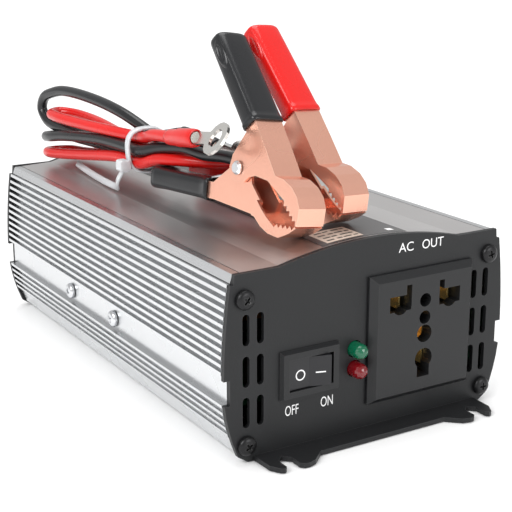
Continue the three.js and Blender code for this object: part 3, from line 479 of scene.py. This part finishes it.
def make_grip(color, part):
    grip = GRIPS[part]
    place = grip_matrix(color, part)
    start, end = grip["start"], grip["end"]
    half_height, half_width = ARM / 2 + 1.05, grip["half_width"] - 0.05
    inner = (ARM / 2 + 0.3, grip["half_width"] - 0.8)
    rings = []

    def ring(s, height, width, power=5, drop=0.0):
        rings.append([place @ Vector((s, ARM / 2 + drop + y, z)) for y, z in rounded_ring(height, width, power)])

    ring(start + 5, *inner)
    ring(start + 0.25, *inner)
    ring(start, inner[0] + 0.15, inner[1] + 0.15)
    ring(start, half_height - 0.3, half_width - 0.3)
    ring(start + 0.3, half_height, half_width)
    ring(start + 1.6, half_height, half_width)
    ring(start + 2.0, half_height - 0.18, half_width - 0.18)
    span = end - start
    if part == "upper":
        for t in (0.1, 0.3, 0.5, 0.68, 0.8):
            ring(start + span * t, half_height - 0.2, half_width - 0.25, 5 - 1.2 * t)
        for more, height, width in (
            (-1.5, 3.5, 6.05), (-0.6, 3.38, 5.9), (0, 3.05, 5.55),
            (0.4, 2.5, 5.0), (0.7, 1.5, 3.8), (0.8, 0.4, 2.0),
        ):
            ring(end + more, height, width, 3.6)
    else:
        for t in (0.15, 0.4, 0.65):
            ring(start + span * t, half_height - 0.2, half_width - 0.2, 4.5)
        for t, more in ((0.82, 0.1), (0.93, 0.3), (0.99, 0.35)):
            ring(start + span * t, half_height - 0.2 + more, half_width - 0.2 + more, 3.6)
        ring(end, half_height - 0.1, half_width - 0.1, 3.4)
        ring(end, half_height - 1.1, half_width - 1.1, 3.4)
        ring(end - 0.4, half_height - 1.3, half_width - 1.3, 3.4)
        ring(end - 6, half_height - 1.4, half_width - 1.4, 3.4)
    points, faces = loft(rings, close_start=False)
    body = f"{color}_clamp_top" if part == "upper" else "leads"
    obj = add_mesh(f"{color}_{part}_vinyl_grip", points, faces, f"{color}_vinyl", body, 50)
    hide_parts(f"{color}_{part}_grip")


def make_mark(color):
    """The raised eye with a slit near the end of the upper grip, on its near side."""
    place = grip_matrix(color, "upper")
    side = GRIPS["upper"]["half_width"] - 0.32
    middle, length, width = 26.5, 5.4, 2.1
    rings = []
    for scale, lift in ((1.0, 0.0), (0.86, 0.28), (0.62, 0.42), (0.5, 0.3), (0.4, 0.05)):
        ring = []
        for i in range(28):
            angle = 2 * math.pi * i / 28
            along = math.cos(angle) * length * (0.25 + 0.75 * scale)
            across = math.sin(angle) * width * scale * (1 - 0.25 * math.cos(angle) ** 2)
            ring.append(place @ Vector((middle + along, ARM / 2 - 0.6 + across, side + lift)))
        rings.append(ring)
    points, faces = loft(rings)
    add_mesh(f"{color}_grip_mark", points, faces, f"{color}_vinyl", f"{color}_clamp_top", 60)


def make_spring(color):
    """The torsion spring: close turns round the rivet and a leg along each arm."""
    place = clamp_matrix(color)
    turns, radius, wire = 4, 2.65, 0.55
    points = [Vector((-4.6, 5.6, -2.3)), Vector((-3.6, 3.4, -2.2))]
    for i in range(turns * 20 + 1):
        angle = math.radians(150) - 2 * math.pi * i / 20
        points.append(Vector((radius * math.cos(angle), radius * math.sin(angle), -2.1 + 4.2 * i / (turns * 20))))
    points += [Vector((-6.5, -6, 2.2)), Vector((-13, -11, 2.2))]
    obj = tube(f"{color}_wound_spring", [place @ p for p in points], wire * MM, "bright_steel", "leads")
    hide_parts(f"{color}_spring")


for clamp_color in CLAMPS:
    make_grip(clamp_color, "upper")
    make_grip(clamp_color, "lower")
    make_mark(clamp_color)
    make_spring(clamp_color)


# ---------------------------------------------------------------- ring terminals' sleeves
def make_sleeve(color, ring, toward, face):
    """Shrink sleeve over the terminal's barrel and the lead's end, with its ends drawn in."""
    along = Vector(toward).normalized()
    across = Vector(face).cross(along).normalized()
    basis = Matrix((across, along.cross(across), along)).transposed().to_4x4()
    place = Matrix.Translation(above_crown(ring)) @ basis @ Matrix.Scale(MM, 4)
    profile = [
        (2.05, -33.0), (2.3, -33.05), (2.5, -32.8), (2.65, -31), (2.7, -27), (3.0, -25.2),
        (3.05, -16), (2.9, -14.2), (2.7, -13.6), (2.3, -13.5), (2.25, -14.5),
    ]
    points, faces = turned(profile, place)
    obj = add_mesh(f"{color}_shrink_sleeve", points, faces, f"{color}_vinyl", "leads", 50)
    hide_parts(f"{color}_terminal_sleeve")


make_sleeve("black", (-15.5, -35.5, 16.6), (0.118, -0.988, -0.1), (0.99, 0.118, 0))
make_sleeve("red", (-32, -48.3, 26.5), (-0.026, -0.989, 0.144), (-0.79, 0, 0.61))


# ---------------------------------------------------------------- cable tie
def strap(name, path, across, width, thickness, closed):
    """A flat strap along a path in mm; across is its width's direction."""
    count = len(path)
    rings = []
    for i in range(count):
        before = path[i - 1] if i or closed else path[0]
        after = path[(i + 1) % count] if i < count - 1 or closed else path[-1]
        along = (after - before).normalized()
        out = across.cross(along).normalized()
        side = along.cross(out).normalized()
        rings.append([
            (path[i] + side * (width / 2 * a) + out * (thickness / 2 * b)) * MM
            for a, b in ((1, 0.5), (0.85, 1), (-0.85, 1), (-1, 0.5), (-1, -0.5), (-0.85, -1), (0.85, -1), (1, -0.5))
        ])
    if closed:
        rings.append(rings[0])
    points, faces = loft(rings, not closed, not closed)
    return add_mesh(name, points, faces, "white_nylon", "leads", 50)


TIE_X, TIE_Y, TIE_Z = -27, 9, 75.1
TIE_HALF_WIDTH, TIE_HALF_HEIGHT = 7.65, 7.4
TIE_LEAN = 0.12
TIE_SQUARENESS = 0.72
TIE_POINTS = 64
loop_path = []
for i in range(TIE_POINTS):
    angle = 2 * math.pi * i / TIE_POINTS
    c, s = math.cos(angle), math.sin(angle)
    x = TIE_X + TIE_HALF_WIDTH * math.copysign(abs(c) ** TIE_SQUARENESS, c)
    z = TIE_Z + TIE_HALF_HEIGHT * math.copysign(abs(s) ** TIE_SQUARENESS, s)
    loop_path.append(Vector((x, TIE_Y + TIE_LEAN * (z - TIE_Z), z)))
tie_loop = strap("tie_loop", loop_path, Vector((0, 1, TIE_LEAN)), 2.6, 0.9, True)
TAIL = [
    (-36.6, 9.5, 68.6), (-37.4, 12, 64.6), (-35.6, 16, 61.4), (-33.4, 22, 60.1),
    (-32.6, 34, 59.8), (-31.4, 50, 60), (-30.6, 63, 60.9),
]
tail_path = catmull(TAIL, 1.5)
strap("tie_tail", tail_path, Vector((0.2, 0.9, 0.4)), 2.4, 0.8, False)
lock_rings = []
for depth, grow in ((-2.3, 0.7), (-2.1, 1.0), (2.1, 1.0), (2.3, 0.7)):
    lock_rings.append([
        Vector((-36.4 + grow * a * 1.9, 9 + depth, 70.4 + grow * b * 2.0)) * MM
        for a, b in rounded_ring(1, 1, 5, 24)
    ])
points, faces = loft(lock_rings)
add_mesh("tie_lock", points, faces, "white_nylon", "leads", 50)
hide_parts("cable_tie")


# ---------------------------------------------------------------- screws
def screw_head(name, origin, out, radius, finish, body):
    """A pan head with a cross recess; origin is the top of the head, in metres, and radius is in mm."""
    out = Vector(out)
    across = Vector((0, 0, 1))
    basis = Matrix((across, out.cross(across), out)).transposed().to_4x4()
    turn = Matrix.Rotation(math.radians(sum(map(ord, name)) * 37 % 90), 4, "Z")
    place = Matrix.Translation(origin) @ basis @ turn @ Matrix.Scale(MM, 4)
    head = [(0.01, 0), (0.35, 0), (0.62, -0.12), (0.85, -0.4), (0.96, -0.8), (1.0, -1.15), (1.0, -1.62)]
    profile = [(r * radius, z) for r, z in head] + [(0.01, -1.62)]
    points, faces = turned(profile, place, 36)
    obj = add_mesh(name, points, faces, finish, body, 40)
    cutter_mesh = bpy.data.meshes.new("recess")
    work = bmesh.new()
    for angle in (0, math.pi / 2):
        arm = place @ Matrix.Rotation(angle, 4, "Z")
        top, bottom = (1.55, 0.36, 0.4), (0.75, 0.26, -1.1)
        corners = []
        for half_long, half_wide, z in (top, bottom):
            for sx, sy in ((1, 1), (-1, 1), (-1, -1), (1, -1)):
                corner = Vector((sx * half_long * radius / 3, sy * half_wide * radius / 3, z))
                corners.append(work.verts.new(arm @ corner))
        work.faces.new(corners[:4])
        work.faces.new(corners[:3:-1])
        for i in range(4):
            j = (i + 1) % 4
            work.faces.new((corners[i], corners[4 + i], corners[4 + j], corners[j]))
    bmesh.ops.recalc_face_normals(work, faces=work.faces)
    work.to_mesh(cutter_mesh)
    work.free()
    cutter = bpy.data.objects.new("recess", cutter_mesh)
    scene.collection.objects.link(cutter)
    cut = obj.modifiers.new("recess", "BOOLEAN")
    cut.object = cutter
    cut.solver = "EXACT"
    cut.use_self = True
    bpy.context.view_layer.objects.active = obj
    bpy.ops.object.modifier_apply(modifier=cut.name)
    bpy.data.objects.remove(cutter)
    return obj


for end_panel, front in (("front_panel", -1), ("rear_panel", 1)):
    for number in range(1, 5):
        screw = f"{end_panel}_screw_{number}"
        low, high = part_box(screw)
        tip = low[1] if front < 0 else high[1]
        origin = ((low[0] + high[0]) / 2, tip, (low[2] + high[2]) / 2)
        head = screw_head(f"{screw}_cross_head", origin, (0, front, 0), 3.0, "dark_screw", "case")
        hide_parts(screw)
for hand, side in (("left", -1), ("right", 1)):
    for number in range(1, 3):
        screw = f"{hand}_side_screw_{number}"
        low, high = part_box(screw)
        origin = (low[0] if side < 0 else high[0], (low[1] + high[1]) / 2, (low[2] + high[2]) / 2)
        head = screw_head(f"{screw}_cross_head", origin, (side, 0, 0), 2.8, "bright_steel", "case")
        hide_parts(screw)
# The fan's own screws and the posts' washers are small, so they are only drawn here.
for number, (x, z) in enumerate(((-38, 47), (-6, 47), (-38, 15), (-6, 15)), 1):
    tip = (x * MM, -PANEL_Y + 1.6 * MM, z * MM)
    screw_head(f"fan_screw_{number}", tip, (0, 1, 0), 2.3, "dark_screw", "case")
POST_Z = 31
for post, x in (("red", 36), ("black", 13)):
    seat = Matrix.Translation((x * MM, -PANEL_Y, POST_Z * MM))
    place = seat @ Matrix.Rotation(-math.pi / 2, 4, "X") @ Matrix.Scale(MM, 4)
    rings = [(3.2, 3.6), (5.4, 3.6), (5.5, 3.7), (5.5, 4.5), (5.4, 4.6), (3.2, 4.6), (3.2, 3.6)]
    points, faces = turned(rings, place, caps=False)
    add_mesh(f"{post}_post_washer", points, faces, "bright_steel", "case", 30)


# ---------------------------------------------------------------- print and label
def crown_patch(name, x0, x1, y0, y1, lift, finish, steps=12):
    """A thin film that follows the cover's crown; its edges and its lift are in mm."""
    x0, x1, y0, y1, lift = (size * MM for size in (x0, x1, y0, y1, lift))
    points, faces = [], []
    for i in range(steps + 1):
        x = x0 + (x1 - x0) * i / steps
        z = crown_z(x) + lift
        points += [(x, y0, z), (x, y1, z)]
    for i in range(steps):
        a = 2 * i
        faces.append((a, a + 2, a + 3, a + 1))
    return add_mesh(name, points, faces, finish, "case")


def flat_mesh(name, outlines, finish, body, place):
    """Flat print: closed outlines in place's X and Y, in mm."""
    points, faces = [], []
    for outline in outlines:
        faces.append(tuple(range(len(points), len(points) + len(outline))))
        points += [place @ Vector((x, y, 0)) for x, y in outline]
    return add_mesh(name, points, faces, finish, body)


def text(name, words, x0, x1, z0, z1):
    """A word on the front panel, fitted to a box in mm."""
    data = bpy.data.curves.new(name, "FONT")
    data.body = words
    data.size = 1
    data.resolution_u = 6
    obj = bpy.data.objects.new(name, data)
    scene.collection.objects.link(obj)
    bpy.context.view_layer.update()
    flat = obj.to_mesh()
    xs = [v.co.x for v in flat.vertices]
    ys = [v.co.y for v in flat.vertices]
    kx, kz = (x1 - x0) / (max(xs) - min(xs)), (z1 - z0) / (max(ys) - min(ys))
    points = [
        ((x0 + (v.co.x - min(xs)) * kx) * MM, PANEL_Y - 0.03 * MM, (z0 + (v.co.y - min(ys)) * kz) * MM)
        for v in flat.vertices
    ]
    faces = [tuple(p.vertices) for p in flat.polygons]
    obj.to_mesh_clear()
    bpy.data.objects.remove(obj)
    add_mesh(name, points, faces, "print_white", "case")


text("word_ac", "AC", 9.3, 14.9, 55.7, 58.6)
text("word_out", "OUT", 18.3, 26.6, 55.6, 58.5)
text("word_off", "OFF", -31.2, -26.5, 11.4, 14.6)
text("word_on", "ON", -18.5, -14.1, 11.6, 14.8)

# The rocker's two faces: at rest the left one lies flat and the right one stands out.
SWITCH_X, SWITCH_Z = -23, 24.4
ROCKER_PIVOT, ROCKER_PRINT = 2.5, 3.55
ROCKER_TILT = 9
ROCKER_AXIS = Matrix.Translation((SWITCH_X * MM, PANEL_Y + ROCKER_PIVOT * MM, SWITCH_Z * MM))
ROCKER = ROCKER_AXIS @ Matrix.Rotation(math.radians(-ROCKER_TILT), 4, "Z")


def rocker_face(side):
    """A print plane on one half of the rocker: X to the right, Y up, 0.05 mm proud."""
    tilt = Matrix.Rotation(math.radians(ROCKER_TILT) * -side, 4, "Z")
    upright = Matrix.Rotation(math.pi / 2, 4, "X")
    return ROCKER @ Matrix.Translation((0, -ROCKER_PRINT * MM, 0)) @ tilt @ upright @ Matrix.Scale(MM, 4)


def ring_outline(outer, inner, x, y, sides=40):
    quads = []
    for i in range(sides):
        a, b = 2 * math.pi * i / sides, 2 * math.pi * (i + 1) / sides
        corners = ((outer, a), (outer, b), (inner, b), (inner, a))
        quads.append([(x + radius * math.cos(t), y + radius * math.sin(t)) for radius, t in corners])
    return quads


ROCKER_BAR = [(2.1, -0.6), (5.2, -0.6), (5.2, -0.2), (2.1, -0.2)]
rocker_circle = ring_outline(1.7, 1.28, -3.0, -0.5)
flat_mesh("rocker_circle", rocker_circle, "print_white", "rocker", rocker_face(-1))
flat_mesh("rocker_bar", [ROCKER_BAR], "print_white", "rocker", rocker_face(1))

# The label's layers lie on each other: the film, the block on it, and the lines on the block.
FILM_LIFT, BLOCK_LIFT, LINE_LIFT = 0.08, 0.13, 0.17
LINE_HEIGHT, LINE_PITCH = 0.9, 2.5
crown_patch("label_film", -17, 14, -84.2, 46, FILM_LIFT, "label_grey")
crown_patch("label_block", -14.5, -1.5, -83, -72, BLOCK_LIFT, "label_beige")
for row in range(4):
    for column, (start, width) in enumerate(((-13.4, 2.6), (-10.1, 1.9), (-7.4, 2.8), (-4.1, 1.6))):
        x0 = start + 0.3 * ((row + column) % 2)
        y0 = -81.6 + LINE_PITCH * row
        line = f"label_line_{row}_{column}"
        crown_patch(line, x0, x0 + width, y0, y0 + LINE_HEIGHT, LINE_LIFT, "print_dark", 2)
crown_patch("label_square", 8.6, 10.9, -81.8, -79.6, BLOCK_LIFT, "print_white", 2)

# ---------------------------------------------------------------- floor and light
FLOOR_SIZE, FLOOR_DROP = 30, 0.0003
bpy.ops.mesh.primitive_plane_add(size=FLOOR_SIZE, location=(0, 0, -FLOOR_DROP))
floor = bpy.context.object
floor.name = "floor"
paper = bpy.data.materials.new("paper")
paper.use_nodes = True
n, link = paper.node_tree.nodes, paper.node_tree.links.new
sheet = n["Principled BSDF"]
sheet.inputs["Base Color"].default_value = (0.93, 0.93, 0.93, 1)
sheet.inputs["Roughness"].default_value = 0.6
sheet.inputs["Specular IOR Level"].default_value = 0.3
sheet.inputs["Emission Color"].default_value = (1, 1, 1, 1)
floor.data.materials.append(paper)
# The paper glows a little far away, as a sweep that is lit evenly.
spot, far = n.new("ShaderNodeTexCoord"), n.new("ShaderNodeVectorMath")
fade = n.new("ShaderNodeMapRange")
far.operation = "LENGTH"
fade.inputs["From Min"].default_value = 0.35
fade.inputs["From Max"].default_value = 1.6
fade.inputs["To Max"].default_value = 0.6
link(spot.outputs["Object"], far.inputs[0])
link(far.outputs["Value"], fade.inputs["Value"])
link(fade.outputs["Result"], sheet.inputs["Emission Strength"])

world = bpy.data.worlds.new("studio")
world.use_nodes = True
n, link = world.node_tree.nodes, world.node_tree.links.new
surround, backdrop = n["Background"], n.new("ShaderNodeBackground")
seen, either = n.new("ShaderNodeLightPath"), n.new("ShaderNodeMixShader")
surround.inputs["Color"].default_value = (1, 1, 1, 1)
surround.inputs["Strength"].default_value = 0.62
backdrop.inputs["Color"].default_value = (1, 1, 1, 1)
link(seen.outputs["Is Camera Ray"], either.inputs["Fac"])
link(surround.outputs[0], either.inputs[1])
link(backdrop.outputs[0], either.inputs[2])
link(either.outputs[0], n["World Output"].inputs["Surface"])
scene.world = world


def softbox(name, place, target, size, power):
    data = bpy.data.lights.new(name, "AREA")
    data.shape = "RECTANGLE"
    data.size, data.size_y = size
    data.energy = power
    obj = bpy.data.objects.new(name, data)
    obj.location = place
    obj.rotation_euler = (Vector(target) - Vector(place)).to_track_quat("-Z", "Y").to_euler()
    scene.collection.objects.link(obj)


softbox("key", (-0.9, -0.35, 0.75), (0, 0, 0.03), (0.7, 0.5), 9)
softbox("front", (0.35, -1.1, 0.5), (0, -0.05, 0.04), (0.6, 0.5), 5)
softbox("top", (0.1, 0.2, 1.1), (0, 0, 0.05), (0.8, 0.8), 7)

scene.view_settings.view_transform = "Standard"
